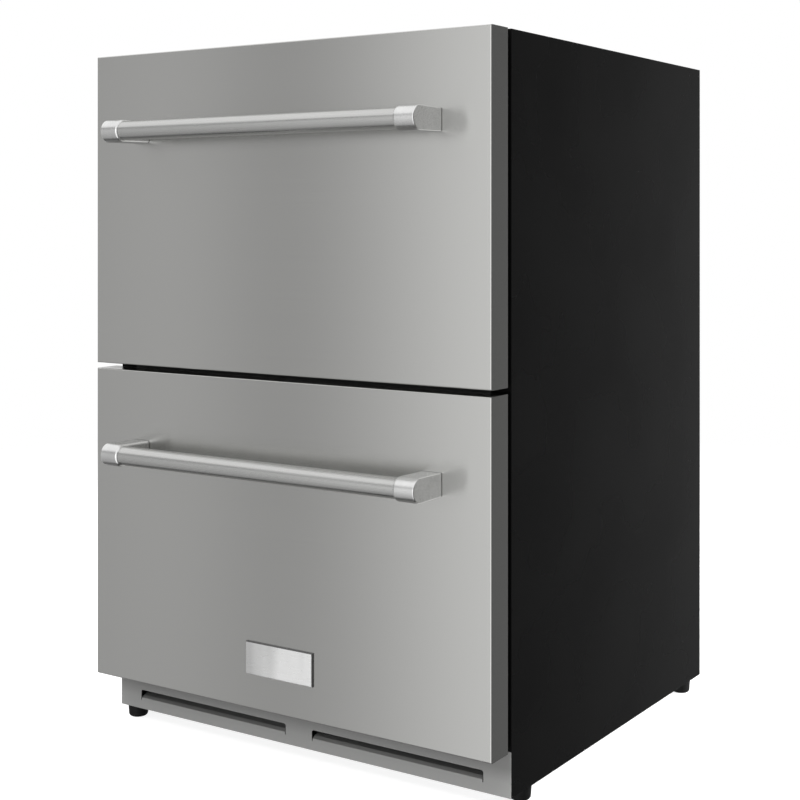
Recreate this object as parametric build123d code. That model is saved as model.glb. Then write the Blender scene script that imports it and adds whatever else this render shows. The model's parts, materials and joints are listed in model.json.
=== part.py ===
"""Under-counter refrigerator with two pull-out drawers, built as an assembly of separate pieces.

Millimetres, +Z up. The drawers face -Y. The origin is on the floor, under the middle of the outer box:
feet on Z = 0, handles at the lowest Y and the cabinet's back at the highest. X = 0 is the middle of the width.
Each piece is written to parts/NAME.step.
"""

import os

from build123d import *

# ---------------------------------------------------------------- driving dimensions
CABINET_WIDTH = 595.0
SLAB_OVERHANG = 1.0  # each drawer front past the cabinet, on each side
HEIGHT = 877.0
CABINET_DEPTH = 548.0
FOOT_HEIGHT = 17.0
DRAWER_STANDOFF = 45.5  # drawer face ahead of the cabinet's front plane
HANDLE_REACH = 58.5  # front of the handle ahead of the drawer face
PLINTH_HEIGHT = 52.5  # kick plate, from the cabinet's bottom edge up to the lower drawer
DRAWER_GAP = 7.0
GASKET_DEPTH = 9.5
TRAVEL = 400.0  # each drawer's stroke
FOOT_TRAVEL = 18.0

SHEET = 1.0  # painted and stainless sheet
PLASTIC = 2.0  # liner and inner covers
BIN_WALL = 3.0
WALL_INSULATION = 41.0
FIT = 0.1  # gap between pieces that meet
FAN_SHAFT = 2.0  # radius of both fans' shafts
RUN = 0.35  # gap between pieces that slide past each other

# ---------------------------------------------------------------- places worked out from them
HALF = CABINET_WIDTH / 2
SLAB_HALF = HALF + SLAB_OVERHANG
DEPTH = CABINET_DEPTH + DRAWER_STANDOFF + HANDLE_REACH
REAR = DEPTH / 2
FRONT = REAR - CABINET_DEPTH  # cabinet's front plane
FACE = FRONT - DRAWER_STANDOFF  # drawer faces
SLAB_BACK = FRONT - GASKET_DEPTH
BASE = FOOT_HEIGHT  # cabinet's bottom edge
PLINTH_TOP = BASE + PLINTH_HEIGHT
SLAB_HEIGHT = (HEIGHT - PLINTH_TOP - DRAWER_GAP) / 2

STEEL_FLANGE = 26.0  # front return of the steel shell, which the magnetic gaskets close on
REAR_FLANGE = 15.0
GASKET_INSET = 9.0
GASKET_WIDTH = 14.0

CAVITY_HALF = HALF - SHEET - WALL_INSULATION - PLASTIC
CAVITY_TOP = HEIGHT - 47.0
CAVITY_BOTTOM = BASE + 84.0
CAVITY_BACK = REAR - 45.0

COMPARTMENT_FRONT = REAR - 200.0  # machine compartment behind the lower drawer
COMPARTMENT_TOP = BASE + 207.0
STEP_FRONT = COMPARTMENT_FRONT - 33.0  # liner's step over the compartment
STEP_TOP = COMPARTMENT_TOP + 33.0
FLOOR_SHEET = BASE + 46.0  # underside of the insulated floor

MULLION_HALF_HEIGHT = 30.0
MULLION_Z = PLINTH_TOP + SLAB_HEIGHT + DRAWER_GAP / 2
MULLION_DEPTH = 46.0

SLIDE_LENGTH = TRAVEL + 20.0
SLIDE_START = FRONT + 7.0
SLIDE_PACK = 12.8  # thickness of a closed slide
RAIL_WEB = 1.2
OUTER_HALF_HEIGHT = 22.5
MIDDLE_HALF_HEIGHT = 18.0
INNER_HALF_HEIGHT = 12.5

PLATEAU = 12.0  # depth of the inner panel's raised middle
BIN_FRONT = SLAB_BACK + PLATEAU + 5.0
FRAME_PLATE = 1.5

HANDLE_DROP = 101.8  # handle axis below the top of its drawer
HANDLE_AXIS_REACH = 44.5  # handle axis ahead of the drawer face
POST_RADIUS = HANDLE_REACH - HANDLE_AXIS_REACH
POST_OUTER = 234.5
POST_WIDTH = 28.5
POST_TAPER = 0.7  # how much each of its flanks closes in by the slab
BAR_RADIUS = 12.0
BAR_SOCKET = 7.0

EVAPORATOR_FAN_Z = 590.0
COVER_Y = CAVITY_BACK - 45.0
CONDENSER_FAN_CENTRE = (COMPARTMENT_FRONT + 99.0, BASE + 97.0)  # Y, Z of its axis, which runs along X


# ---------------------------------------------------------------- helpers
def span(x0, x1, y0, y1, z0, z1):
    """Box between two corners."""
    middle = Pos((x0 + x1) / 2, (y0 + y1) / 2, (z0 + z1) / 2)
    return middle * Box(x1 - x0, y1 - y0, z1 - z0)


def wide(half, y0, y1, z0, z1):
    """Box centred on the width."""
    return span(-half, half, y0, y1, z0, z1)


def rod(axis, centre, radius, length):
    """Cylinder along an axis, centred on a point."""
    turn = {"x": Rot(0, 90, 0), "y": Rot(90, 0, 0), "z": Rot(0, 0, 0)}[axis]
    return Pos(*centre) * turn * Cylinder(radius, length)


def profile_x(points, half):
    """Closed outline in Y and Z, extruded to both sides of the middle."""
    return extrude(Plane.YZ * Polygon(*points, align=None), half, both=True)


def both_sides(shape):
    """The shape and its mirror image."""
    return Compound([*shape.solids(), *mirror(shape, Plane.YZ).solids()])


def tube(points, radius, bend):
    """Round bar along a path of straight runs with bends between them."""
    path = FilletPolyline(*points, radius=bend)
    section = Plane(path @ 0, z_dir=path % 0) * Circle(radius)
    return sweep(section, path=path)


def screw(axis, seat, toward, head_radius, head_height, shank_radius, length, clearance=0.0):
    """Pan-head screw. seat is the middle of the head's underside, toward is +1 or -1, the way it points."""
    step = {"x": (1, 0, 0), "y": (0, 1, 0), "z": (0, 0, 1)}[axis]
    head_at = [s - toward * k * head_height / 2 for s, k in zip(seat, step)]
    shank_at = [s + toward * k * length / 2 for s, k in zip(seat, step)]
    head = rod(axis, head_at, head_radius + clearance, head_height)
    shank = rod(axis, shank_at, shank_radius + clearance, length)
    return head + shank


def save(name, shape):
    """Writes one piece, or one group of like pieces."""
    solids = shape.solids()
    piece = solids[0] if len(solids) == 1 else Compound(solids)
    export_step(piece, f"parts/{name}.step")
    print(f"{name}: {len(solids)} solid(s)")


# ---------------------------------------------------------------- cabinet shell
def side_panel():
    """Right side of the outer case: one bent sheet with front, rear and bottom returns."""
    web = span(HALF - SHEET, HALF, FRONT, REAR, BASE, HEIGHT)
    front = span(HALF - STEEL_FLANGE, HALF, FRONT, FRONT + SHEET, BASE, HEIGHT)
    rear = span(HALF - REAR_FLANGE, HALF, REAR - SHEET, REAR, BASE, HEIGHT)
    panel = web + front + rear
    corners = panel.edges().filter_by(Axis.Z).filter_by(lambda e: e.center().X > HALF - 0.01)
    panel = fillet(corners, 0.8)
    for z in rear_screw_heights():
        panel -= rod("y", (rear_screw_x(), REAR, z), 4.2, 6)
    return panel


def rear_screw_x():
    """X of the screws down each rear edge."""
    return HALF - REAR_FLANGE / 2 - 0.5


def rear_screw_heights():
    """Heights of the screws that hold the back panel and the compartment cover."""
    return [BASE + 20, COMPARTMENT_TOP - 30, COMPARTMENT_TOP + 30, HEIGHT / 2 + 110, HEIGHT - 30]


def top_panel():
    """Steel top with a front return that the upper gasket closes on, and a short rear return."""
    half = HALF - SHEET - FIT
    sheet = wide(half, FRONT, REAR - SHEET - FIT, HEIGHT - SHEET, HEIGHT)
    front = wide(HALF - STEEL_FLANGE - FIT, FRONT, FRONT + SHEET, HEIGHT - STEEL_FLANGE, HEIGHT)
    panel = sheet + front
    notch = span(half - STEEL_FLANGE - 1, half + 1, FRONT - 1, FRONT + SHEET + FIT, HEIGHT - 2, HEIGHT + 1)
    return panel - notch - mirror(notch, Plane.YZ)


def back_panel():
    """Flat back of the insulated part, lapped inside the side returns."""
    y1 = REAR - SHEET - FIT
    sheet = wide(HALF - SHEET - FIT, y1 - SHEET, y1, COMPARTMENT_TOP + 1.2, HEIGHT - SHEET - FIT)
    for x in (-rear_screw_x(), rear_screw_x()):
        for z in rear_screw_heights()[2:]:
            sheet -= rod("y", (x, REAR, z), 2.1, 12)
    return sheet


def compartment_cover():
    """Louvred cover over the machine compartment, with the hole for the power cord's gland."""
    y1 = REAR - SHEET - FIT
    sheet = wide(HALF - SHEET - FIT, y1 - SHEET, y1, BASE + 2.2, COMPARTMENT_TOP + 0.8)
    slot_length, slot_height, pitch, rows = 150.0, 5.0, 13.0, 9
    for column in (-105.0, 105.0):
        for row in range(rows):
            z = BASE + 50 + row * pitch
            slot = extrude(Plane.XZ * SlotOverall(slot_length, slot_height), 3, both=True)
            sheet -= Pos(column, y1 - SHEET / 2, z) * slot
    for x in (-rear_screw_x(), rear_screw_x()):
        for z in rear_screw_heights()[:2]:
            sheet -= rod("y", (x, REAR, z), 2.1, 12)
    return sheet - rod("y", (GLAND_X, y1, GLAND_Z), GLAND_RADIUS + FIT, 6)


def rear_screws(clearance=0.0):
    """Screws down both rear edges, heads flush in the side returns."""
    one_side = [
        screw("y", (rear_screw_x(), REAR - SHEET - FIT + 0.05, z), -1, 3.8, 0.95, 2.0, 8.0, clearance)
        for z in rear_screw_heights()
    ]
    return both_sides(Compound([s for one in one_side for s in one.solids()]))


GLAND_X, GLAND_Z = 215.0, BASE + 26.0
GLAND_RADIUS, GLAND_BORE, GLAND_LENGTH = 9.0, 4.2, 12.0


def cord_gland():
    """Flanged bush where the power cord enters the machine compartment."""
    y_flange = REAR - SHEET
    body = rod("y", (GLAND_X, REAR - GLAND_LENGTH / 2, GLAND_Z), GLAND_RADIUS, GLAND_LENGTH)
    flange = rod("y", (GLAND_X, y_flange + SHEET / 2, GLAND_Z), 12.5, SHEET)
    inner = rod("y", (GLAND_X, REAR - GLAND_LENGTH + 1.0, GLAND_Z), 12.0, 2.0)
    return body + flange + inner - rod("y", (GLAND_X, REAR, GLAND_Z), GLAND_BORE, 60)


def compartment_shell():
    """Sheet under and behind the insulation: front sill, floor, compartment front wall and ceiling."""
    y0, y1, y2 = FRONT, COMPARTMENT_FRONT, REAR - 3 * SHEET
    z0, z1, z2 = FLOOR_SHEET, COMPARTMENT_TOP, PLINTH_TOP + STEEL_FLANGE
    below = [(y0, z2), (y0, z0), (y1, z0), (y1, z1), (y2, z1), (y2, z1 + SHEET)]
    above = [(y1 - SHEET, z1 + SHEET), (y1 - SHEET, z0 + SHEET), (y0 + SHEET, z0 + SHEET), (y0 + SHEET, z2)]
    shell = profile_x(below + above, HALF - SHEET - FIT)
    notch = span(HALF - STEEL_FLANGE - FIT, HALF, FRONT - 1, FRONT + SHEET + FIT, z0 - 1, z2 + 1)
    return shell - notch - mirror(notch, Plane.YZ) - suction_line(0.3)


def base_tray():
    """Bottom plate with turned-up sides. It carries the compressor and the feet."""
    half = HALF - SHEET - FIT
    plate = wide(half, FRONT + SHEET + FIT, REAR - SHEET - FIT, BASE, BASE + 2)
    side = span(half - 2, half, FRONT + 30, REAR - 30, BASE, BASE + 30)
    tray = plate + side + mirror(side, Plane.YZ)
    for x, y in foot_places():
        tray -= rod("z", (x, y, BASE), 4.5, 10)
    return tray


def kick_plate():
    """Stainless plinth with two long air slots. The metal cut free in each slot is bent inwards as a lip with a knee."""
    slot_middle, slot_half, slot_low, slot_high = 141.0, 121.0, BASE + 14.5, BASE + 24.8
    corner, relief_width, relief_drop = 3.0, 1.3, 3.0
    knee_depth, knee_rise, lip_depth, lip_rise, bend = 3.2, 2.9, 12.0, 5.4, 1.0
    y_face = FRONT - SHEET
    plate = wide(HALF, y_face, FRONT, BASE, PLINTH_TOP - 0.5)
    lip_outline = [
        (y_face, slot_low),
        (y_face, slot_low - 1.4 * SHEET),
        (FRONT + knee_depth, slot_low + knee_rise - 1.2 * SHEET),
        (FRONT + lip_depth, slot_low + lip_rise - SHEET),
        (FRONT + lip_depth, slot_low + lip_rise),
        (FRONT + knee_depth, slot_low + knee_rise),
    ]
    lip = profile_x(lip_outline, slot_half - relief_width)
    for x in (-slot_middle, slot_middle):
        x0, x1 = x - slot_half, x + slot_half
        opening = span(x0, x1, FRONT - 5, FRONT + 5, slot_low, slot_high)
        opening = fillet(opening.edges().filter_by(Axis.Y).sort_by(Axis.Z)[-2:], corner)
        relief_low = slot_low - relief_drop
        for end in (x0, x1 - relief_width):
            opening += span(end, end + relief_width, FRONT - 5, FRONT + 5, relief_low, slot_low + 1)
        plate -= opening
        plate += Pos(x, 0, 0) * lip
    edges = plate.edges().filter_by(Axis.X)
    bends = [e for e in edges if abs(e.center().Z - slot_low) < 0.01 and abs(e.center().Y - y_face) < 0.01]
    return fillet(bends, bend)


# ---------------------------------------------------------------- feet
FOOT_INSET_X, FOOT_INSET_FRONT, FOOT_INSET_REAR = 14.5, 16.0, 36.5
FRONT_RIGHT_SETBACK = 30.0  # the front right foot stands this much further back than the front left
FOOT_RADIUS, FOOT_TAPER, FOOT_RIM = 13.5, 1.0, 4.5
STUD_RADIUS, STUD_TOP = 4.0, BASE + FOOT_TRAVEL + 12.0


def foot_places():
    """X and Y of the four feet, front pair first."""
    x = HALF - FOOT_INSET_X
    y0, y1 = FRONT + FOOT_INSET_FRONT, REAR - FOOT_INSET_REAR
    return [(-x, y0), (x, y0 + FRONT_RIGHT_SETBACK), (-x, y1), (x, y1)]


def foot(x, y):
    """Levelling foot: a tapered pad with a rounded rim, on a threaded stud."""
    top = BASE - RUN
    outline = [(0, 0), (FOOT_RADIUS - FOOT_TAPER, 0), (FOOT_RADIUS, top), (0, top)]
    pad = revolve(Plane.XZ * Polygon(*outline, align=None), Axis.Z)
    rim = pad.edges().filter_by(GeomType.CIRCLE).sort_by(Axis.Z)[0]
    pad = fillet(rim, FOOT_RIM)
    stud = Pos(0, 0, (top + STUD_TOP) / 2) * Cylinder(STUD_RADIUS, STUD_TOP - top)
    thread_pitch = 1.5
    turns = int((STUD_TOP - BASE - 4) / thread_pitch)
    for turn in range(turns):
        z = BASE + 3 + turn * thread_pitch
        groove = Cylinder(STUD_RADIUS + 1, 0.6) - Cylinder(STUD_RADIUS - 0.45, 0.6)
        stud -= Pos(0, 0, z) * groove
    return Pos(x, y, 0) * (pad + stud)


def foot_nuts():
    """Hexagonal weld nuts on the base tray, one over each foot."""
    made = []
    for x, y in foot_places():
        nut = Pos(x, y, BASE + 2) * extrude(RegularPolygon(7.5, 6), 7)
        made += (nut - rod("z", (x, y, BASE + 5), STUD_RADIUS + 0.15, 20)).solids()
    return Compound(made)


# ---------------------------------------------------------------- insulated cavity
def cavity_block(grow):
    """The cavity's volume, grown by a wall thickness, open at the cabinet's front plane."""
    y0, y1, y2 = FRONT + 2.1, STEP_FRONT + grow, CAVITY_BACK + grow
    z0, z1, z2 = CAVITY_BOTTOM - grow, STEP_TOP - grow, CAVITY_TOP + grow
    outline = [(y0, z0), (y1, z0), (y1, z1), (y2, z1), (y2, z2), (y0, z2)]
    block = profile_x(outline, CAVITY_HALF + grow)
    soft = [e for e in block.edges() if e.center().Y > FRONT + 10]
    return fillet(soft, 10.0 + grow)


def inner_liner():
    """Moulded liner with a step over the machine compartment."""
    liner = cavity_block(PLASTIC) - cavity_block(0.0)
    return liner - suction_line(0.3)


def face_frame():
    """Plastic band between the steel front returns and the liner's mouth."""
    outer_half = HALF - STEEL_FLANGE - FIT
    z_low, z_high = PLINTH_TOP + STEEL_FLANGE + FIT, HEIGHT - STEEL_FLANGE - FIT
    band = wide(outer_half, FRONT, FRONT + PLASTIC, z_low, z_high)
    mouth = wide(CAVITY_HALF, FRONT - 1, FRONT + 5, CAVITY_BOTTOM, CAVITY_TOP)
    return band - mouth


def cabinet_foam():
    """Insulation between the steel shell and the liner."""
    y0, y1 = FRONT + 2.2, REAR - 2 * SHEET - 2 * FIT
    block = wide(HALF - SHEET - FIT, y0, y1, FLOOR_SHEET + SHEET + FIT, HEIGHT - SHEET - FIT)
    compartment = wide(HALF, COMPARTMENT_FRONT - SHEET - FIT, REAR, 0, COMPARTMENT_TOP + SHEET + FIT)
    foam = block - compartment - cavity_block(PLASTIC)
    return foam - suction_line(0.3) - rear_screws(0.3)


def mullion():
    """Bar across the cabinet's mouth that both gaskets close on."""
    z0, z1 = MULLION_Z - MULLION_HALF_HEIGHT, MULLION_Z + MULLION_HALF_HEIGHT
    bar = wide(CAVITY_HALF - FIT, FRONT, FRONT + MULLION_DEPTH, z0, z1)
    back_edges = bar.edges().filter_by(Axis.X).sort_by(Axis.Y)[-2:]
    return fillet(back_edges, 8.0)


# ---------------------------------------------------------------- refrigeration
def serpentine(passes, pitch, length, radius, lane):
    """Tube that runs to and fro. lane(u, v) places distance u along a pass and offset v across passes."""
    points = []
    for i in range(passes):
        ends = (0.0, length) if i % 2 == 0 else (length, 0.0)
        points += [lane(ends[0], i * pitch), lane(ends[1], i * pitch)]
    return tube(points, radius, pitch / 2 - 0.01)


def evaporator_coil():
    """Finned coil behind the air cover."""
    x0, length, z0, pitch, passes, y = -190.0, 380.0, 690.0, 24.0, 6, CAVITY_BACK - 21.0
    coil = serpentine(passes, pitch, length, 4.0, lambda u, v: (x0 + u, y, z0 + v))
    fins, fin_step = 19, 17.0
    for i in range(fins):
        x = x0 + 37 + i * fin_step
        coil += span(x - 0.4, x + 0.4, y - 15, y + 15, z0 - 10, z0 + (passes - 1) * pitch + 10)
    return coil


def evaporator_cover():
    """Air cover across the back of the upper compartment, with a fan grille and outlet slots."""
    half, z0, z1 = CAVITY_HALF - 1.0, 508.0, CAVITY_TOP - 1.0
    cover = wide(half, COVER_Y, COVER_Y + PLASTIC, z0, z1)
    side = span(half - PLASTIC, half, COVER_Y, CAVITY_BACK - 11, z0, z1 - 12)
    cover += side + mirror(side, Plane.YZ)
    cover += wide(half, COVER_Y, CAVITY_BACK - 11, z0, z0 + PLASTIC)
    slat_height, slat_pitch, opening = 5.0, 11.0, 56.0
    for i in range(-4, 5):
        z = i * slat_pitch
        reach = (opening**2 - z**2) ** 0.5 if abs(z) < opening else 0.0
        slot = extrude(Plane.XZ * SlotOverall(2 * reach, slat_height), 4, both=True)
        cover -= Pos(0, COVER_Y, EVAPORATOR_FAN_Z + z) * slot
    outlets, outlet_pitch = 10, 40.0
    for i in range(outlets):
        x = (i - (outlets - 1) / 2) * outlet_pitch
        slot = extrude(Plane.XZ * SlotOverall(28, 6), 4, both=True)
        cover -= Pos(x, COVER_Y, CAVITY_TOP - 24) * slot
    return cover & cavity_block(-0.5)


def fan_rotor(tip, hub, depth, blades, pitch_angle):
    """Rotor about Z: a domed hub with a bore and twisted blades."""
    cup = Cylinder(hub, depth)
    cup = fillet(cup.edges().filter_by(GeomType.CIRCLE).sort_by(Axis.Z)[-1], hub * 0.3)
    blade_length = tip - hub + 4
    outline = Ellipse(blade_length * 0.56, (tip + hub) * 0.3)
    blade = Pos((tip + hub) / 2, 0, 0) * Rot(pitch_angle, 0, 0) * extrude(outline, 0.8, both=True)
    ring = Cylinder(tip, depth * 3) - Cylinder(hub - 2, depth * 3)
    blade = blade & ring
    rotor = cup
    for i in range(blades):
        rotor += Rot(0, 0, 360 * i / blades) * blade
    return rotor - Cylinder(FAN_SHAFT + 0.06, depth * 3)


def evaporator_fan_blade():
    """Seven-bladed rotor behind the grille."""
    rotor = fan_rotor(48.0, 15.0, 12.0, 7, 24.0)
    return Pos(0, COVER_Y + 14.0, EVAPORATOR_FAN_Z) * Rot(90, 0, 0) * rotor


def evaporator_fan_motor():
    """Motor, shaft and bracket for the evaporator fan."""
    y0 = COVER_Y + 22.0
    body = rod("y", (0, y0 + 9.0, EVAPORATOR_FAN_Z), 20.0, 18.0)
    shaft = rod("y", (0, y0 - 7.0, EVAPORATOR_FAN_Z), FAN_SHAFT, 16.0)
    z0, z1 = EVAPORATOR_FAN_Z - 6, EVAPORATOR_FAN_Z + 6
    arm = wide(68.0, y0 + 14.0, y0 + 18.0, z0, z1)
    standoff = span(60.0, 68.0, COVER_Y + PLASTIC + FIT, y0 + 15.0, z0, z1)
    return body + shaft + arm + standoff + mirror(standoff, Plane.YZ)


def condenser_fan_blade():
    """Five-bladed rotor that draws air through the condenser."""
    y, z = CONDENSER_FAN_CENTRE
    rotor = fan_rotor(58.0, 19.0, 14.0, 5, 28.0)
    return Pos(40.0, y, z) * Rot(0, 90, 0) * rotor


def condenser_fan_frame():
    """Shroud plate with its ring, motor, shaft and four arms."""
    y, z = CONDENSER_FAN_CENTRE
    half = 75.0
    plate = span(56, 58, y - half, y + half, z - half, z + half)
    ring = rod("x", (44, y, z), 64.0, 28.0)
    frame = plate + ring - rod("x", (44, y, z), 62.0, 60.0)
    motor = rod("x", (6, y, z), 23.0, 34.0)
    shaft = rod("x", (32, y, z), FAN_SHAFT, 30.0)
    arm = Pos(8, 0, 37) * Box(4, 9, 74)
    strut = Pos(31.5, 0, 69.5) * Box(51, 9, 9)
    for turn in (45, 135, 225, 315):
        leg = Pos(0, y, z) * Rot(turn, 0, 0) * (arm + strut)
        motor += leg
    foot_tab = span(50, 58, y - half, y + half, BASE + 2, z - half + 1)
    return frame + motor + shaft + foot_tab


def condenser_coil():
    """Finned condenser coil beside its fan, on two feet."""
    x0, x1 = 66.0, 126.0
    y0, z0, pitch, passes, length = COMPARTMENT_FRONT + 26, BASE + 34, 25.0, 6, 146.0
    coil = serpentine(passes, pitch, length, 4.0, lambda u, v: (x0 + 18, y0 + u, z0 + v))
    coil += serpentine(passes, pitch, length, 4.0, lambda u, v: (x1 - 18, y0 + u, z0 + v))
    fins, fin_step = 15, 7.6
    for i in range(fins):
        y = y0 + 20 + i * fin_step
        coil += span(x0, x1, y - 0.35, y + 0.35, BASE + 20, BASE + 176)
    for z in (BASE + 20, BASE + 175):
        coil += span(x0, x1, y0 + 14, y0 + 132, z - 1, z + 1)
    for y in (y0 + 20, y0 + 126):
        coil += span(x0 + 10, x1 - 10, y - 4, y + 4, BASE + 2, BASE + 20)
    return coil


COMPRESSOR_X, COMPRESSOR_Y = -140.0, REAR - 98.0
COMPRESSOR_RADIUS = 68.0


def compressor():
    """Hermetic compressor: domed shell with its seam, mounting plate and stub pipes."""
    z0, z1 = BASE + 24, BASE + 176
    shell = Pos(COMPRESSOR_X, COMPRESSOR_Y, (z0 + z1) / 2) * Cylinder(COMPRESSOR_RADIUS, z1 - z0)
    rims = shell.edges().filter_by(GeomType.CIRCLE).sort_by(Axis.Z)
    shell = fillet(rims[-1], 44.0)
    low_rim = shell.edges().filter_by(GeomType.CIRCLE).sort_by(Axis.Z)[0]
    shell = fillet(low_rim, 26.0)
    seam = Pos(COMPRESSOR_X, COMPRESSOR_Y, z0 + 78) * Cylinder(COMPRESSOR_RADIUS + 3, 5)
    plate = Pos(COMPRESSOR_X, COMPRESSOR_Y, BASE + 21.5) * extrude(RectangleRounded(172, 130, 14), 3)
    body = shell + seam + plate
    for x, y in grommet_places():
        body -= rod("z", (x, y, BASE + 22), 9.0 + FIT, 20)
    stub = rod("x", (COMPRESSOR_X + COMPRESSOR_RADIUS + 4, COMPRESSOR_Y - 30, BASE + 128), 4.5, 44)
    return body + stub


def grommet_places():
    """X and Y of the compressor's rubber mounts."""
    return [(COMPRESSOR_X + i * 72.0, COMPRESSOR_Y + j * 52.0) for i in (-1, 1) for j in (-1, 1)]


def compressor_grommets():
    """Four waisted rubber mounts under the compressor plate."""
    made = []
    for x, y in grommet_places():
        low = rod("z", (x, y, BASE + 11.7), 11.5, 19.2)
        neck = rod("z", (x, y, BASE + 23.0), 9.0, 4.0)
        cap = rod("z", (x, y, BASE + 26.6), 11.0, 3.8)
        made += (low + neck + cap - rod("z", (x, y, BASE + 20), 4.1, 60)).solids()
    return Compound(made)


def relay_cover():
    """Cover over the compressor's terminals."""
    x0 = COMPRESSOR_X - 30
    y1 = COMPRESSOR_Y - COMPRESSOR_RADIUS + 12
    box = span(x0, x0 + 60, y1 - 30, y1, BASE + 66, BASE + 126)
    box = fillet(box.edges().filter_by(Axis.Z), 5.0)
    shell = Pos(COMPRESSOR_X, COMPRESSOR_Y, BASE + 100) * Cylinder(COMPRESSOR_RADIUS + 3.4, 200)
    return box - shell


def drain_pan():
    """Evaporation pan over the compressor, which catches the defrost water."""
    x0, x1 = COMPRESSOR_X - 74, COMPRESSOR_X + 74
    y0, y1 = COMPRESSOR_Y - 72, COMPRESSOR_Y + 72
    z0, z1 = BASE + 179, BASE + 201
    pan = fillet(span(x0, x1, y0, y1, z0, z1).edges().filter_by(Axis.Z), 16.0)
    hollow = span(x0 + 2, x1 - 2, y0 + 2, y1 - 2, z0 + 2, z1 + 1)
    return pan - fillet(hollow.edges().filter_by(Axis.Z), 14.0)


def suction_line(clearance=0.0):
    """Tube from the evaporator down through the back insulation to the compressor's stub."""
    y_foam = REAR - 18.0
    stub_x = COMPRESSOR_X + COMPRESSOR_RADIUS + 26.0 + 8.0
    stub_y, stub_z = COMPRESSOR_Y - 30, BASE + 128
    points = [
        (stub_x - 7.5, stub_y, stub_z),
        (stub_x + 16, stub_y, stub_z),
        (stub_x + 16, y_foam, stub_z),
        (stub_x + 16, y_foam, 650.0),
        (stub_x + 16, CAVITY_BACK - 21.0, 650.0),
        (stub_x + 16, CAVITY_BACK - 21.0, 685.8),
    ]
    return tube(points, 4.0 + clearance, 12.0)


def control_module():
    """Electronics box in the machine compartment, with its lid's step and ribs."""
    x0, x1, y0, y1, z0, z1 = 150.0, 250.0, COMPARTMENT_FRONT + 70, REAR - 32, BASE + 2.2, BASE + 76
    box = fillet(span(x0, x1, y0, y1, z0, z1).edges().filter_by(Axis.Z), 4.0)
    lid = fillet(span(x0 - 2, x1 + 2, y0 - 2, y1 + 2, z1, z1 + 6).edges().filter_by(Axis.Z), 5.0)
    box += lid
    return box - span(GLAND_X - 14, x1 + 5, y1 - 8, y1 + 3, z0 - 1, GLAND_Z + 16)


# ---------------------------------------------------------------- inside fittings
def control_panel():
    """Touch strip under the cavity's ceiling, with a slanted face."""
    y0, y1, z1 = FRONT + 12, FRONT + 62, CAVITY_TOP - FIT
    outline = [(y0, z1), (y0, z1 - 5), (y0 + 14, z1 - 17), (y1, z1 - 17), (y1, z1)]
    return profile_x(outline, 120.0)


def light_covers():
    """Frosted light covers under the cavity's ceiling and under the mullion."""
    bars = []
    for y, z in ((FRONT + 110, CAVITY_TOP - FIT), (FRONT + 24, MULLION_Z - MULLION_HALF_HEIGHT - FIT)):
        bar = wide(150.0, y - 9, y + 9, z - 8, z)
        lower = bar.edges().filter_by(Axis.X).sort_by(Axis.Z)[:2]
        bars += fillet(lower, 5.0).solids()
    return Compound(bars)


# ---------------------------------------------------------------- slides
def channel(x_back, depth, half_height, z, length):
    """Right-hand C section, open towards the middle of the cabinet, with its back at x_back."""
    y0 = SLIDE_START
    outer = span(x_back - depth, x_back, y0, y0 + length, z - half_height, z + half_height)
    x0, x1, inside = x_back - depth - 1, x_back - RAIL_WEB, half_height - RAIL_WEB
    return outer - span(x0, x1, y0 - 1, y0 + length + 1, z - inside, z + inside)


def slide_outers(heights):
    """Cabinet members of both drawers' slides."""
    rails = [channel(CAVITY_HALF, 9.6, OUTER_HALF_HEIGHT, z, SLIDE_LENGTH) for z in heights]
    return both_sides(Compound(rails))


def slide_middles(z):
    """Middle members with their captured balls, which run at half the drawer's speed."""
    x_back = CAVITY_HALF - RAIL_WEB - 1.0
    member = channel(x_back, 7.6, MIDDLE_HALF_HEIGHT, z, SLIDE_LENGTH)
    return both_sides(member)


def slide_inners(z):
    """Drawer members of a drawer's two slides."""
    x_back = CAVITY_HALF - 2 * RAIL_WEB - 2.0
    depth = SLIDE_PACK - 2 * RAIL_WEB - 2.0
    return both_sides(channel(x_back, depth, INNER_HALF_HEIGHT, z, SLIDE_LENGTH))


# ---------------------------------------------------------------- drawers
class Drawer:
    """Sizes of one drawer. bottom is its slab's lower edge."""

    def __init__(self, name, bottom, slide_z, bin_bottom, bin_rim, bin_length):
        self.name = name
        self.z0 = bottom
        self.z1 = bottom + SLAB_HEIGHT
        self.slide_z = slide_z
        self.bin_bottom = bin_bottom
        self.bin_rim = bin_rim
        self.bin_length = bin_length
        self.handle_z = self.z1 - HANDLE_DROP


def slab_skin(d):
    """Stainless front: face, four sides and a narrow return at the back."""
    block = wide(SLAB_HALF, FACE, SLAB_BACK, d.z0, d.z1)
    front_edges = [e for e in block.edges() if abs(e.center().Y - FACE) < 0.01]
    block = fillet(front_edges, 1.6)
    hollow = wide(SLAB_HALF - SHEET, FACE + SHEET, SLAB_BACK - SHEET, d.z0 + SHEET, d.z1 - SHEET)
    mouth = wide(HALF - 8, FACE + 5, SLAB_BACK + 1, d.z0 + 8, d.z1 - 8)
    skin = block - hollow - mouth
    for x, z in handle_screw_places(d):
        skin -= rod("y", (x, FACE, z), 2.8, 10)
    return skin


def handle_screw_places(d):
    """X and Z of the screws that hold the handle, two in each post."""
    x = POST_OUTER - POST_WIDTH / 2
    return [(i * x, d.handle_z + j * 7.0) for i in (-1, 1) for j in (-1, 1)]


def frame_screw_places(d):
    """X and Z of the screws through the drawer frame's front plate."""
    return [(i * 200.0, d.slide_z + j * 14.0) for i in (-1, 1) for j in (-1, 1)]


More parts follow.
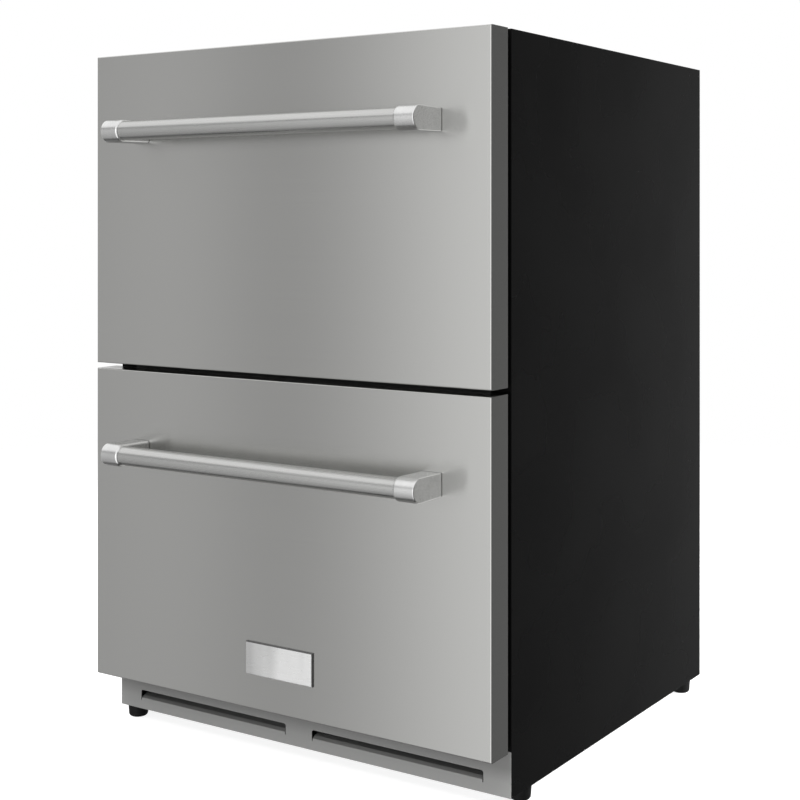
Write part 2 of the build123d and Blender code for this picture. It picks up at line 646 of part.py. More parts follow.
def drawer_screws(d, clearance=0.0):
    """Screws from inside the slab into the handle posts, and from the drawer frame into the inner panel."""
    handle_seat = FACE + SHEET + 0.05
    frame_seat = SLAB_BACK + PLATEAU + FRAME_PLATE + 0.05
    made = []
    for x, z in handle_screw_places(d):
        made += screw("y", (x, handle_seat, z), -1, 4.5, 3.0, 2.5, 19.0, clearance).solids()
    for x, z in frame_screw_places(d):
        made += screw("y", (x, frame_seat, z), -1, 4.0, 2.2, 2.0, 8.0, clearance).solids()
    return Compound(made)


def slab_core(d):
    """Insulation inside the slab."""
    gap = SHEET + FIT
    core = wide(SLAB_HALF - gap, FACE + gap, SLAB_BACK - PLASTIC - 0.2, d.z0 + gap, d.z1 - gap)
    core -= wide(SLAB_HALF, SLAB_BACK - SHEET - FIT, SLAB_BACK + 1, d.z0, d.z1)
    return core - drawer_screws(d, 0.3)


def slab_inner(d):
    """Moulded inner panel with a raised middle that fits the cabinet's mouth."""
    edge = 8 + FIT
    low, high = max(d.z0 + 34, CAVITY_BOTTOM + 4), min(d.z1 - 34, CAVITY_TOP - 4)
    if d.z1 < HEIGHT - 1:
        high = MULLION_Z - MULLION_HALF_HEIGHT - 4
    else:
        low = MULLION_Z + MULLION_HALF_HEIGHT + 4
    half = CAVITY_HALF - 4
    panel = wide(HALF - edge, SLAB_BACK - PLASTIC, SLAB_BACK, d.z0 + edge, d.z1 - edge)
    raised = wide(half, SLAB_BACK - 1, SLAB_BACK + PLATEAU, low, high)
    rounded = [e for e in raised.edges() if e.center().Y > SLAB_BACK]
    raised = fillet(rounded, 5.0)
    hollow = wide(
        half - PLASTIC, SLAB_BACK - 3, SLAB_BACK + PLATEAU - PLASTIC, low + PLASTIC, high - PLASTIC
    )
    hollow_edges = [e for e in hollow.edges() if e.center().Y > SLAB_BACK]
    panel = panel + raised - fillet(hollow_edges, 3.0)
    for x, z in frame_screw_places(d):
        panel -= rod("y", (x, SLAB_BACK + PLATEAU, z), 2.0 + FIT, 8)
    return panel


def gasket(d):
    """Magnetic seal: a wide bulb on a narrower foot, right round the slab."""

    def ring(inset, width, y0, y1):
        outer = wide(HALF - inset, y0, y1, d.z0 + inset, d.z1 - inset)
        inner = wide(
            HALF - inset - width, y0 - 1, y1 + 1, d.z0 + inset + width, d.z1 - inset - width
        )
        return outer - inner

    bulb = ring(GASKET_INSET, GASKET_WIDTH, SLAB_BACK + 3.6, FRONT - RUN)
    neck = ring(GASKET_INSET + 3, GASKET_WIDTH - 6, SLAB_BACK, SLAB_BACK + 3.6)
    return bulb + neck


def handle_post(d):
    """Right end of the handle: a D-shaped block with a rounded nose, on a slightly smaller foot."""
    y_axis, foot_height = FACE - HANDLE_AXIS_REACH, 0.9
    x0, x1, z = POST_OUTER - POST_WIDTH, POST_OUTER, d.handle_z
    root = POST_RADIUS - POST_TAPER
    y_root = FACE - foot_height
    flank = [(y_axis, -POST_RADIUS), (y_root, -root), (y_root, root), (y_axis, POST_RADIUS)]
    stem = extrude(Plane.YZ * Polygon(*flank, align=None), POST_WIDTH / 2, both=True)
    middle = (x0 + x1) / 2
    post = Pos(middle, 0, z) * stem + rod("x", (middle, y_axis, z), POST_RADIUS, POST_WIDTH)
    inner = [e for e in post.edges().filter_by(GeomType.CIRCLE) if abs(e.center().X - x0) < 0.01]
    post = fillet(inner, 3.6)
    outer = [e for e in post.edges() if abs(e.center().X - x1) < 0.01 and e.center().Y < y_root - 1]
    post = fillet(outer, 1.3)
    post += span(x0 + 0.9, x1 - 0.9, y_root - 0.5, FACE, z - root + 0.9, z + root - 0.9)
    post -= rod("x", (x0 - 10 + BAR_SOCKET + 0.4, y_axis, z), BAR_RADIUS + FIT, 20)
    for x, screw_z in handle_screw_places(d):
        if x > 0:
            post -= rod("y", (x, FACE, screw_z), 2.6, 40)
    return post


def handle_bar(d):
    """Brushed tube between the posts."""
    half = POST_OUTER - POST_WIDTH + BAR_SOCKET
    y = FACE - HANDLE_AXIS_REACH
    bar = rod("x", (0, y, d.handle_z), BAR_RADIUS, 2 * half)
    return bar - rod("x", (0, y, d.handle_z), BAR_RADIUS - 1.5, 2 * half + 2)


def drawer_frame(d):
    """Steel frame that hangs the bin between the slides and bolts to the inner panel."""
    outer = CAVITY_HALF - SLIDE_PACK
    y0, y1 = SLAB_BACK + PLATEAU, SLIDE_START + SLIDE_LENGTH
    z0, z1 = d.slide_z - 24, d.bin_rim - FIT
    back_y = BIN_FRONT + d.bin_length + 3
    side = span(outer - FRAME_PLATE, outer, y0, y1, z0, z1)
    shelf = span(outer - 9, outer, y0, back_y, z1 - FRAME_PLATE, z1)
    frame = side + shelf
    frame += mirror(frame, Plane.YZ)
    frame += wide(outer, y0, y0 + FRAME_PLATE, z0, z1)
    frame += wide(outer, back_y, back_y + FRAME_PLATE, z0, z1)
    for x, z in frame_screw_places(d):
        frame -= rod("y", (x, y0, z), 2.0 + FIT, 8)
    return frame


def bin_tub(d):
    """Moulded bin with rounded corners and a rim that rests on the frame."""
    outer = CAVITY_HALF - SLIDE_PACK - 10
    y0, y1 = BIN_FRONT, BIN_FRONT + d.bin_length
    tub = wide(outer, y0, y1, d.bin_bottom, d.bin_rim)
    tub = fillet(tub.edges().filter_by(Axis.Z), 28.0)
    tub = fillet(tub.faces().sort_by(Axis.Z)[0].edges(), 12.0)
    rim_half = CAVITY_HALF - SLIDE_PACK - FIT
    rim = wide(rim_half, y0 - 0.5, y1 + 2, d.bin_rim, d.bin_rim + BIN_WALL)
    rim = fillet(rim.edges().filter_by(Axis.Z), 29.0)
    hollow = wide(outer - BIN_WALL, y0 + BIN_WALL, y1 - BIN_WALL, d.bin_bottom + BIN_WALL, d.bin_rim + 20)
    hollow = fillet(hollow.edges().filter_by(Axis.Z), 25.0)
    hollow = fillet(hollow.faces().sort_by(Axis.Z)[0].edges(), 9.0)
    return tub + rim - hollow


BADGE_X, BADGE_HALF, BADGE_HEIGHT, BADGE_RISE, BADGE_THICK = 5.2, 50.5, 40.0, 62.0, 2.6


def badge_plate(d):
    """Small plain plate with bevelled edges, low on the lower drawer."""
    x0, x1 = BADGE_X - BADGE_HALF, BADGE_X + BADGE_HALF
    z0 = d.z0 + BADGE_RISE - BADGE_HEIGHT / 2
    plate = span(x0, x1, FACE - BADGE_THICK, FACE - 0.01, z0, z0 + BADGE_HEIGHT)
    front = [e for e in plate.edges() if abs(e.center().Y - (FACE - BADGE_THICK)) < 0.01]
    return chamfer(front, 1.0)


def drawer_pieces(d):
    """Every piece that belongs to one drawer, and its slides."""
    post = handle_post(d)
    return {
        f"{d.name}_drawer_front": slab_skin(d),
        f"{d.name}_drawer_core": slab_core(d),
        f"{d.name}_drawer_inner_panel": slab_inner(d),
        f"{d.name}_gasket": gasket(d),
        f"{d.name}_handle_bar": handle_bar(d),
        f"{d.name}_handle_post_right": post,
        f"{d.name}_handle_post_left": mirror(post, Plane.YZ),
        f"{d.name}_drawer_screws": drawer_screws(d),
        f"{d.name}_drawer_frame": drawer_frame(d),
        f"{d.name}_bin": bin_tub(d),
        f"{d.name}_slide_middles": slide_middles(d.slide_z),
        f"{d.name}_slide_inners": slide_inners(d.slide_z),
    }


# ---------------------------------------------------------------- the whole object
def main():
    os.makedirs("parts", exist_ok=True)
    upper = Drawer("upper", HEIGHT - SLAB_HEIGHT, 700.0, 522.0, 752.0, 410.0)
    lower = Drawer("lower", PLINTH_TOP, 300.0, 118.0, 352.0, 296.0)
    right_side = side_panel()
    pieces = {
        "side_panel_right": right_side,
        "side_panel_left": mirror(right_side, Plane.YZ),
        "top_panel": top_panel(),
        "back_panel": back_panel(),
        "compartment_cover": compartment_cover(),
        "rear_screws": rear_screws(),
        "cord_gland": cord_gland(),
        "compartment_shell": compartment_shell(),
        "base_tray": base_tray(),
        "kick_plate": kick_plate(),
        "foot_nuts": foot_nuts(),
        "inner_liner": inner_liner(),
        "face_frame": face_frame(),
        "cabinet_foam": cabinet_foam(),
        "mullion": mullion(),
        "evaporator_coil": evaporator_coil(),
        "evaporator_cover": evaporator_cover(),
        "evaporator_fan_blade": evaporator_fan_blade(),
        "evaporator_fan_motor": evaporator_fan_motor(),
        "condenser_coil": condenser_coil(),
        "condenser_fan_blade": condenser_fan_blade(),
        "condenser_fan_frame": condenser_fan_frame(),
        "compressor": compressor(),
        "compressor_grommets": compressor_grommets(),
        "relay_cover": relay_cover(),
        "drain_pan": drain_pan(),
        "suction_line": suction_line(),
        "control_module": control_module(),
        "control_panel": control_panel(),
        "light_covers": light_covers(),
        "slide_outers": slide_outers([upper.slide_z, lower.slide_z]),
        **drawer_pieces(upper),
        **drawer_pieces(lower),
        "badge_plate": badge_plate(lower),
    }
    corners = ("front_left", "front_right", "rear_left", "rear_right")
    for corner, (x, y) in zip(corners, foot_places()):
        pieces[f"foot_{corner}"] = foot(x, y)
    for name, shape in pieces.items():
        save(name, shape)
    print(len(pieces), "pieces")


if __name__ == "__main__":
    main()
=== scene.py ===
"""Looks for the under-counter refrigerator: materials, small details, floor, light and camera."""

import json
import math

import bmesh
import bpy
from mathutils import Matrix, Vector

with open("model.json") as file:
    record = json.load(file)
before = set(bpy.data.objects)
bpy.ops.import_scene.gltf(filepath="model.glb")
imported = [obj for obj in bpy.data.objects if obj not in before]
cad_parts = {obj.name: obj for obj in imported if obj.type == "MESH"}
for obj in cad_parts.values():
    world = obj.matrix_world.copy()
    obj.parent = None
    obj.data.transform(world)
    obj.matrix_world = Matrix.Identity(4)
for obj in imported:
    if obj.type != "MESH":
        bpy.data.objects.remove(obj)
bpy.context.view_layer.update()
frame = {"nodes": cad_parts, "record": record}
NODES = frame["nodes"]


# ---------------------------------------------------------------- node helpers
class Graph:
    """A material's node tree, with short ways to add and wire nodes."""

    def __init__(self, name):
        self.material = bpy.data.materials.new(name)
        self.material.use_nodes = True
        self.tree = self.material.node_tree
        self.shader = self.tree.nodes["Principled BSDF"]
        self.place = self.add("ShaderNodeTexCoord").outputs["Object"]

    def add(self, kind, **settings):
        node = self.tree.nodes.new(kind)
        for key, value in settings.items():
            setattr(node, key, value)
        return node

    def wire(self, source, target):
        self.tree.links.new(source, target)

    def set(self, **values):
        for name, value in values.items():
            self.shader.inputs[name.replace("_", " ")].default_value = value

    def scaled(self, scale):
        """Object coordinates times a scale along each axis."""
        mapping = self.add("ShaderNodeMapping")
        mapping.inputs["Scale"].default_value = scale
        self.wire(self.place, mapping.inputs["Vector"])
        return mapping.outputs["Vector"]

    def noise(self, scale, detail=2.0, roughness=0.5):
        """Noise with cells of 1 over scale, in metres, along each axis."""
        noise = self.add("ShaderNodeTexNoise")
        noise.inputs["Scale"].default_value = 1.0
        noise.inputs["Detail"].default_value = detail
        noise.inputs["Roughness"].default_value = roughness
        self.wire(self.scaled(scale), noise.inputs["Vector"])
        return noise.outputs["Fac"]

    def ranged(self, value, low, high, source=(0.25, 0.75)):
        """Value mapped from a source range to low and high."""
        mapper = self.add("ShaderNodeMapRange")
        mapper.inputs["From Min"].default_value = source[0]
        mapper.inputs["From Max"].default_value = source[1]
        mapper.inputs["To Min"].default_value = low
        mapper.inputs["To Max"].default_value = high
        self.wire(value, mapper.inputs["Value"])
        return mapper.outputs["Result"]

    def math(self, operation, a, b):
        node = self.add("ShaderNodeMath", operation=operation)
        for socket, value in zip(node.inputs, (a, b)):
            if isinstance(value, (int, float)):
                socket.default_value = value
            else:
                self.wire(value, socket)
        return node.outputs[0]

    def mix(self, factor, color_a, color_b):
        mixer = self.add("ShaderNodeMix", data_type="RGBA")
        if isinstance(factor, (int, float)):
            mixer.inputs[0].default_value = factor
        else:
            self.wire(factor, mixer.inputs[0])
        for socket, color in ((mixer.inputs[6], color_a), (mixer.inputs[7], color_b)):
            if isinstance(color, tuple):
                socket.default_value = (*color, 1.0)
            else:
                self.wire(color, socket)
        return mixer.outputs[2]

    def color(self, value):
        if isinstance(value, tuple):
            self.shader.inputs["Base Color"].default_value = (*value, 1.0)
        else:
            self.wire(value, self.shader.inputs["Base Color"])

    def roughness(self, value):
        if isinstance(value, (int, float)):
            self.shader.inputs["Roughness"].default_value = value
        else:
            self.wire(value, self.shader.inputs["Roughness"])

    def bump(self, height, distance, strength=1.0):
        """Bump from a height in 0..1, with a full step of distance metres."""
        bump = self.add("ShaderNodeBump")
        bump.inputs["Strength"].default_value = strength
        bump.inputs["Distance"].default_value = distance
        self.wire(height, bump.inputs["Height"])
        self.wire(bump.outputs["Normal"], self.shader.inputs["Normal"])

    def normal(self):
        """X, Y and Z of the surface's direction, in the object's own axes."""
        parts = self.add("ShaderNodeSeparateXYZ")
        self.wire(self.add("ShaderNodeTexCoord").outputs["Normal"], parts.inputs[0])
        return parts.outputs

    def edge(self, radius, low, high):
        """A mask of convex edges from the bevelled normal, 0 on flats."""
        bevel = self.add("ShaderNodeBevel", samples=4)
        bevel.inputs["Radius"].default_value = radius
        geometry = self.add("ShaderNodeNewGeometry")
        dot = self.add("ShaderNodeVectorMath", operation="DOT_PRODUCT")
        self.wire(bevel.outputs["Normal"], dot.inputs[0])
        self.wire(geometry.outputs["Normal"], dot.inputs[1])
        return self.ranged(dot.outputs["Value"], low, high, source=(1.0, 0.8))


# ---------------------------------------------------------------- materials
def brushed_steel(name, color, grain, roughness, anisotropy=0.75, metallic=1.0, shade=None):
    """Stainless with fine streaks along the axes where grain is small. shade is painted shade, standing
    in for the
    shadow of the part above: the Z where it starts to darken, the Z where it is darkest, and how dark it
    gets."""
    g = Graph(name)
    fine = g.noise(grain, detail=3.0, roughness=0.6)
    broad = g.noise(tuple(0.16 * s for s in grain), detail=1.0)
    streak = g.math("ADD", g.math("MULTIPLY", fine, 0.7), g.math("MULTIPLY", broad, 0.3))
    darker = tuple(0.975 * c for c in color)
    tone = g.mix(g.ranged(streak, 0.0, 1.0), darker, color)
    # Painted shade: darker towards the top, standing in for the shadow of the drawer overhang.
    if shade:
        low, high, depth = shade
        up = g.add("ShaderNodeSeparateXYZ")
        g.wire(g.place, up.inputs[0])
        overhang_shade_tone = tuple(depth * c for c in color)
        tone = g.mix(g.ranged(up.outputs["Z"], 0.0, 1.0, source=(low, high)), tone, overhang_shade_tone)
    g.color(tone)
    g.roughness(g.ranged(streak, roughness - 0.01, roughness + 0.01))
    g.bump(fine, 0.000002, 0.1)
    g.set(Metallic=metallic, Anisotropic=anisotropy, Anisotropic_Rotation=0.25)
    tangent = g.add("ShaderNodeTangent", direction_type="RADIAL", axis="Z")
    g.wire(tangent.outputs["Tangent"], g.shader.inputs["Tangent"])
    return g.material


def bar_steel(name, color, roughness):
    """Stainless tube, polished along its length, which lies on X."""
    g = Graph(name)
    fine = g.noise((6.0, 900.0, 900.0), detail=3.0, roughness=0.6)
    darker = tuple(0.94 * c for c in color)
    g.color(g.mix(g.ranged(fine, 0.0, 1.0), darker, color))
    g.roughness(g.ranged(fine, roughness - 0.04, roughness + 0.04))
    g.bump(fine, 0.000012, 0.35)
    g.set(Metallic=1.0)
    return g.material


def cast_metal(name, color, roughness):
    """Satin cast metal with a very fine blasted grain, and painted shade on its underside."""
    g = Graph(name)
    grain = g.noise((2600.0, 2600.0, 2600.0), detail=2.0)
    cloud = g.noise((60.0, 60.0, 60.0), detail=3.0)
    darker, painted_underside_shade = tuple(0.9 * c for c in color), tuple(0.42 * c for c in color)
    polished = g.mix(g.ranged(cloud, 0.0, 1.0), darker, color)
    # Painted shade: faces turned downward are darkened, standing in for the shade under the handle
    # posts.
    underside = g.ranged(g.normal()["Z"], 1.0, 0.0, source=(-0.95, -0.6))
    g.color(g.mix(underside, polished, painted_underside_shade))
    g.roughness(g.ranged(grain, roughness - 0.05, roughness + 0.05))
    g.bump(grain, 0.00004, 0.35)
    g.set(Metallic=1.0)
    return g.material


def badge_metal(name, color, roughness):
    """Lacquered plate with broad soft stripes of painted sheen across its width, and painted shade on
    the bevels at its top and right.
    """
    g = Graph(name)
    # Painted sheen: broad soft stripes across the width, standing in for the reflection on the plate.
    sheen_bands = g.noise((26.0, 2.0, 3.0), detail=1.0)
    grain = g.noise((40.0, 40.0, 1800.0), detail=2.0)
    normal = g.normal()
    # Painted shade: faces turned towards +X or +Z, the bevels at the top and right, are darkened.
    turned = g.math("MAXIMUM", normal["X"], normal["Z"])
    darker, bevel = tuple(0.62 * c for c in color), tuple(0.12 * c for c in color)
    face = g.mix(g.ranged(sheen_bands, 0.0, 1.0, source=(0.35, 0.65)), darker, color)
    g.color(g.mix(g.ranged(turned, 0.0, 1.0, source=(0.2, 0.4)), face, bevel))
    g.roughness(g.ranged(grain, roughness - 0.04, roughness + 0.04))
    g.set(Metallic=0.87)
    return g.material


def powder_coat(name, color, roughness, bump=0.00006, sheen=0.5):
    """Painted sheet with a fine orange-peel surface, and a painted highlight along its edges."""
    g = Graph(name)
    peel = g.noise((850.0, 850.0, 850.0), detail=2.0)
    cloud = g.noise((7.0, 7.0, 7.0), detail=3.0)
    paler = tuple(1.3 * c for c in color)
    body = g.mix(g.ranged(cloud, 0.0, 1.0), color, paler)
    edge_highlight_tone = tuple(3.0 * c + 0.01 for c in color)
    # Painted highlight: convex edges paler, standing in for the light they catch.
    g.color(g.mix(g.edge(0.0008, 0.0, 0.5), body, edge_highlight_tone))
    g.roughness(g.ranged(cloud, roughness - 0.03, roughness + 0.04))
    g.set(Specular_IOR_Level=sheen)
    g.bump(peel, bump, 0.5)
    return g.material


def galvanised(name, color):
    """Zinc-coated sheet with faint spangle."""
    g = Graph(name)
    cells = g.add("ShaderNodeTexVoronoi")
    cells.inputs["Scale"].default_value = 1.0
    g.wire(g.scaled((130.0, 130.0, 130.0)), cells.inputs["Vector"])
    tone = g.add("ShaderNodeRGBToBW")
    g.wire(cells.outputs["Color"], tone.inputs["Color"])
    fleck = tone.outputs["Val"]
    cloud = g.noise((12.0, 12.0, 12.0), detail=4.0)
    darker = tuple(0.82 * c for c in color)
    both = g.math("ADD", g.math("MULTIPLY", fleck, 0.55), g.math("MULTIPLY", cloud, 0.45))
    g.color(g.mix(g.ranged(both, 0.0, 1.0, source=(0.2, 0.8)), darker, color))
    g.roughness(g.ranged(both, 0.34, 0.5, source=(0.2, 0.8)))
    g.set(Metallic=1.0)
    return g.material


def plated(name, color, roughness):
    """Zinc-plated steel with drawing lines along Y."""
    g = Graph(name)
    lines = g.noise((700.0, 12.0, 700.0), detail=2.0)
    darker = tuple(0.88 * c for c in color)
    g.color(g.mix(g.ranged(lines, 0.0, 1.0), darker, color))
    g.roughness(g.ranged(lines, roughness - 0.05, roughness + 0.06))
    g.bump(lines, 0.00002, 0.3)
    g.set(Metallic=1.0)
    return g.material


def plastic(name, color, roughness, grain=1400.0, depth=0.00005, cloudiness=0.06, sheen=0.5):
    """Moulded plastic with a fine mould grain and slight unevenness."""
    g = Graph(name)
    texture = g.noise((grain, grain, grain), detail=2.0)
    cloud = g.noise((16.0, 16.0, 16.0), detail=3.0)
    darker = tuple((1.0 - cloudiness) * c for c in color)
    g.color(g.mix(g.ranged(cloud, 0.0, 1.0), darker, color))
    g.roughness(g.ranged(texture, roughness - 0.04, roughness + 0.05))
    g.set(Specular_IOR_Level=sheen)
    g.bump(texture, depth, 0.4)
    return g.material


def foam(name, color):
    """Closed-cell foam."""
    g = Graph(name)
    cells = g.add("ShaderNodeTexVoronoi")
    cells.inputs["Scale"].default_value = 1.0
    g.wire(g.scaled((520.0, 520.0, 520.0)), cells.inputs["Vector"])
    cloud = g.noise((9.0, 9.0, 9.0), detail=4.0)
    darker = tuple(0.85 * c for c in color)
    g.color(g.mix(g.ranged(cloud, 0.0, 1.0), darker, color))
    g.bump(cells.outputs["Distance"], 0.0004, 0.6)
    g.roughness(0.9)
    return g.material


def rubber(name, color):
    """Matt rubber with a bloom."""
    g = Graph(name)
    texture = g.noise((900.0, 900.0, 900.0), detail=3.0)
    bloom = g.noise((25.0, 25.0, 25.0), detail=4.0)
    paler = tuple(1.6 * c + 0.004 for c in color)
    g.color(g.mix(g.ranged(bloom, 0.0, 1.0), color, paler))
    g.roughness(g.ranged(texture, 0.6, 0.78))
    g.bump(texture, 0.00008, 0.4)
    return g.material


def copper(name):
    """Drawn copper, tarnished in patches."""
    g = Graph(name)
    patch = g.noise((40.0, 40.0, 40.0), detail=5.0, roughness=0.6)
    g.color(g.mix(g.ranged(patch, 0.0, 1.0), (0.62, 0.31, 0.17), (0.36, 0.19, 0.12)))
    g.roughness(g.ranged(patch, 0.24, 0.46))
    g.set(Metallic=1.0)
    return g.material


def frosted(name):
    """Frosted light cover."""
    g = Graph(name)
    texture = g.noise((1200.0, 1200.0, 1200.0), detail=2.0)
    g.color(g.mix(g.ranged(texture, 0.0, 1.0), (0.86, 0.88, 0.89), (0.93, 0.94, 0.94)))
    g.roughness(g.ranged(texture, 0.38, 0.5))
    g.bump(texture, 0.00004, 0.4)
    g.shader.inputs["Emission Color"].default_value = (0.95, 0.98, 1.0, 1.0)
    g.shader.inputs["Emission Strength"].default_value = 0.35
    return g.material


STEEL = (0.60, 0.60, 0.585)
MATERIALS = {
    "stainless": brushed_steel("stainless", STEEL, (1.4, 1.4, 1500.0), 0.22),
    # The kick plate's darker colour stands in for the shade under the drawer overhang: painted shade on
    # a rougher, less metallic stainless.
    "kick_steel": brushed_steel(
        "kick_steel", (0.31, 0.31, 0.305), (2.0, 2.0, 1000.0), 0.46, 0.6, 0.6, shade=(0.033, 0.05, 0.66)
    ),
    "bar_steel": bar_steel("bar_steel", (0.63, 0.63, 0.62), 0.28),
    "cast_metal": cast_metal("cast_metal", (0.84, 0.84, 0.835), 0.28),
    "badge_metal": badge_metal("badge_metal", (0.92, 0.92, 0.915), 0.30),
    "black_steel": powder_coat("black_steel", (0.0016, 0.0016, 0.0016), 0.27, sheen=0.04),
    "zinc_steel": galvanised("zinc_steel", (0.55, 0.56, 0.57)),
    "slide_steel": plated("slide_steel", (0.58, 0.59, 0.60), 0.3),
    "fastener": plated("fastener", (0.6, 0.6, 0.6), 0.28),
    "black_plastic": plastic("black_plastic", (0.006, 0.006, 0.006), 0.42),
    "foot_plastic": plastic("foot_plastic", (0.006, 0.006, 0.006), 0.55, sheen=0.12),
    "liner_plastic": plastic("liner_plastic", (0.50, 0.51, 0.52), 0.32, 600.0, 0.00003, 0.03),
    "bin_plastic": plastic("bin_plastic", (0.40, 0.415, 0.43), 0.26, 500.0, 0.00002, 0.03),
    "insulation": foam("insulation", (0.80, 0.72, 0.50)),
    "gasket_rubber": rubber("gasket_rubber", (0.010, 0.010, 0.010)),
    "grommet_rubber": rubber("grommet_rubber", (0.016, 0.016, 0.016)),
    "finned_coil": plated("finned_coil", (0.70, 0.71, 0.72), 0.36),
    "copper": copper("copper"),
    "compressor_black": powder_coat("compressor_black", (0.012, 0.012, 0.012), 0.26, 0.00003),
    "fan_plastic": plastic("fan_plastic", (0.66, 0.67, 0.68), 0.34),
    "fan_frame": plastic("fan_frame", (0.03, 0.03, 0.03), 0.5),
    "pan_plastic": plastic("pan_plastic", (0.05, 0.05, 0.05), 0.42),
    "frosted_cover": frosted("frosted_cover"),
}


LEVELS = ("upper", "lower")
CORNERS = ("front_left", "front_right", "rear_left", "rear_right")


def dress(obj, name):
    """Gives an object one material."""
    obj.data.materials.clear()
    obj.data.materials.append(MATERIALS[name])


for part in frame["record"]["subparts"]:
    dress(NODES[part["node"]], part["material_slot"])
for level in LEVELS:
    dress(NODES[f"{level}_handle_bar"], "bar_steel")
for corner in CORNERS:
    dress(NODES[f"foot_{corner}"], "foot_plastic")
dress(NODES["kick_plate"], "kick_steel")


# ---------------------------------------------------------------- floor
def floor():
    """Plain pale disc under the object, which fades out into the backdrop before its rim."""
    solid_radius, rim_radius = 1.3, 2.6
    mesh = bpy.data.meshes.new("floor")
    form = bmesh.new()
    bmesh.ops.create_circle(form, cap_ends=True, segments=96, radius=rim_radius)
    form.to_mesh(mesh)
    form.free()
    disc = bpy.data.objects.new("floor", mesh)
    bpy.context.scene.collection.objects.link(disc)
    g = Graph("floor")
    cloud = g.noise((3.0, 3.0, 3.0), detail=3.0)
    g.color(g.mix(g.ranged(cloud, 0.0, 1.0), (0.30, 0.30, 0.30), (0.32, 0.32, 0.32)))
    g.roughness(0.9)
    g.set(Specular_IOR_Level=0.1, Emission_Strength=0.85)
    g.shader.inputs["Emission Color"].default_value = (1.0, 1.0, 1.0, 1.0)
    distance = g.add("ShaderNodeVectorMath", operation="LENGTH")
    g.wire(g.place, distance.inputs[0])
    fade = g.ranged(distance.outputs["Value"], 1.0, 0.0, source=(solid_radius, rim_radius))
    g.wire(fade, g.shader.inputs["Alpha"])
    mesh.materials.append(g.material)
    disc.visible_glossy = False


floor()


# ---------------------------------------------------------------- studio
WHITE = (1.0, 1.0, 1.0, 1.0)

# Brightness of the walls all round: degrees from +Y, positive towards +X, and level.
WALL_RING = [
    (-180, 1.80), (-168, 1.35), (-158, 1.06), (-150, 1.02), (-145.5, 0.62), (-142, 0.28), (-138, 0.66),
    (-134, 0.48), (-110, 0.42), (-75, 0.60), (-35, 0.90), (0, 0.60), (16, 0.42), (30, 0.12), (60, 0.11),
    (100, 0.24), (130, 0.36), (147, 0.52), (158, 1.2), (168, 2.0), (180, 1.80),
]
# How the walls vary with height, from -1 straight down to 1 straight up: height and factor.
WALL_BANDS = [(-1.0, 0.85), (0.08, 1.0), (0.17, 0.62), (0.24, 0.62), (0.31, 1.0)]


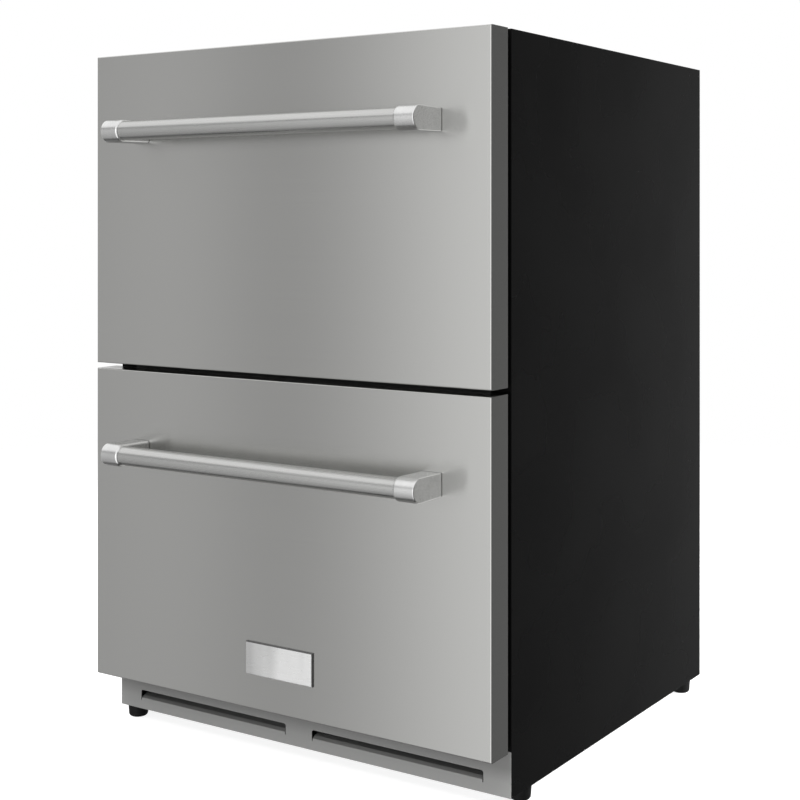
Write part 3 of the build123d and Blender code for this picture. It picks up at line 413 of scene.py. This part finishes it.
def studio_world():
    """White to the camera, and soft upright panels of grey all round for what the metal reflects."""
    world = bpy.data.worlds.new("studio")
    bpy.context.scene.world = world
    world.use_nodes = True
    tree = world.node_tree
    tree.nodes.clear()

    def add(kind, **settings):
        node = tree.nodes.new(kind)
        for key, value in settings.items():
            setattr(node, key, value)
        return node

    def calc(operation, a, b=0.0):
        node = add("ShaderNodeMath", operation=operation)
        for socket, value in zip(node.inputs, (a, b)):
            if isinstance(value, (int, float)):
                socket.default_value = value
            else:
                tree.links.new(value, socket)
        return node.outputs[0]

    def smooth_step(value, start, end, low, high):
        step = add("ShaderNodeMapRange", interpolation_type="SMOOTHSTEP")
        for name, level in (("From Min", start), ("From Max", end), ("To Min", low), ("To Max", high)):
            step.inputs[name].default_value = level
        tree.links.new(value, step.inputs["Value"])
        return step.outputs["Result"]

    def ramp(value, points):
        """Grey along eased points, each a place in 0..1 and a level."""
        node = add("ShaderNodeValToRGB")
        node.color_ramp.interpolation = "EASE"
        stops = node.color_ramp.elements
        while len(stops) < len(points):
            stops.new(0.5)
        for stop, (place, level) in zip(stops, points):
            stop.position = place
            stop.color = (level, level, level, 1.0)
        tree.links.new(value, node.inputs["Fac"])
        return node.outputs["Color"]

    def mix(factor, color_a, color_b, blend="MIX"):
        node = add("ShaderNodeMix", data_type="RGBA", blend_type=blend)
        for slot, value in ((0, factor), (6, color_a), (7, color_b)):
            socket = node.inputs[slot]
            if isinstance(value, (float, tuple)):
                socket.default_value = value
            else:
                tree.links.new(value, socket)
        return node.outputs[2]

    direction = add("ShaderNodeSeparateXYZ")
    tree.links.new(add("ShaderNodeTexCoord").outputs["Generated"], direction.inputs[0])
    x, y, z = direction.outputs
    bearing = calc("ARCTAN2", x, y)  # 0 at +Y, positive towards +X
    turn = calc("ADD", calc("DIVIDE", bearing, 2 * math.pi), 0.5)
    ring = ramp(turn, [(degrees / 360 + 0.5, level) for degrees, level in WALL_RING])
    # Height, where the directions towards the front count as a little lower.
    height = calc("ADD", z, calc("MULTIPLY", calc("MINIMUM", y, 0.0), 0.2))
    half_height = calc("ADD", calc("DIVIDE", height, 2.0), 0.5)
    band = ramp(half_height, [(level / 2 + 0.5, factor) for level, factor in WALL_BANDS])
    # Dark below and in front, which draws the line along the underside of the handles.
    under = smooth_step(calc("MAXIMUM", z, calc("SUBTRACT", z, y)), -0.75, -0.5, 0.1, 1.0)
    walls = mix(1.0, ring, calc("MULTIPLY", band, under), blend="MULTIPLY")
    ceiling = smooth_step(height, 0.28, 0.46, 0.0, 1.0)
    room = mix(ceiling, walls, WHITE)
    seen = mix(add("ShaderNodeLightPath").outputs["Is Camera Ray"], room, WHITE)
    background = add("ShaderNodeBackground")
    tree.links.new(seen, background.inputs["Color"])
    out = add("ShaderNodeOutputWorld")
    tree.links.new(background.outputs["Background"], out.inputs["Surface"])


def soft_light(name, place, target, size, power):
    """Area light aimed at a point, which lights matt surfaces and stays out of reflections."""
    data = bpy.data.lights.new(name, "AREA")
    data.shape = "RECTANGLE"
    data.size, data.size_y = size
    data.energy = power
    light = bpy.data.objects.new(name, data)
    light.location = place
    aim = Vector(target) - Vector(place)
    light.rotation_euler = aim.to_track_quat("-Z", "Y").to_euler()
    light.visible_glossy = False
    light.visible_camera = False
    bpy.context.scene.collection.objects.link(light)


studio_world()
soft_light("overhead_light", (0.2, -1.5, 3.0), (0.0, 0.0, 0.0), (3.0, 3.0), 190.0)
soft_light("rear_side_light", (0.85, 0.66, 0.15), (0.2975, 0.45, 0.30), (0.2, 2.0), 130.0)


# ---------------------------------------------------------------- camera
def camera():
    """Level camera at the front right, with its frame shifted down to take in the whole object."""
    data = bpy.data.cameras.new("camera")
    data.sensor_width = 36.0
    data.lens = 66.72
    data.shift_y = -0.223
    data.clip_start = 0.05
    data.clip_end = 50.0
    view = bpy.data.objects.new("camera", data)
    view.location = (1.1091, -1.6696, 0.6614)
    view.rotation_euler = (math.radians(90), 0.0, math.radians(33.57))
    bpy.context.scene.collection.objects.link(view)
    bpy.context.scene.camera = view


camera()
bpy.context.scene.view_settings.view_transform = "Standard"
bpy.context.scene.view_settings.look = "None"
bpy.context.scene.view_settings.exposure = 0.0
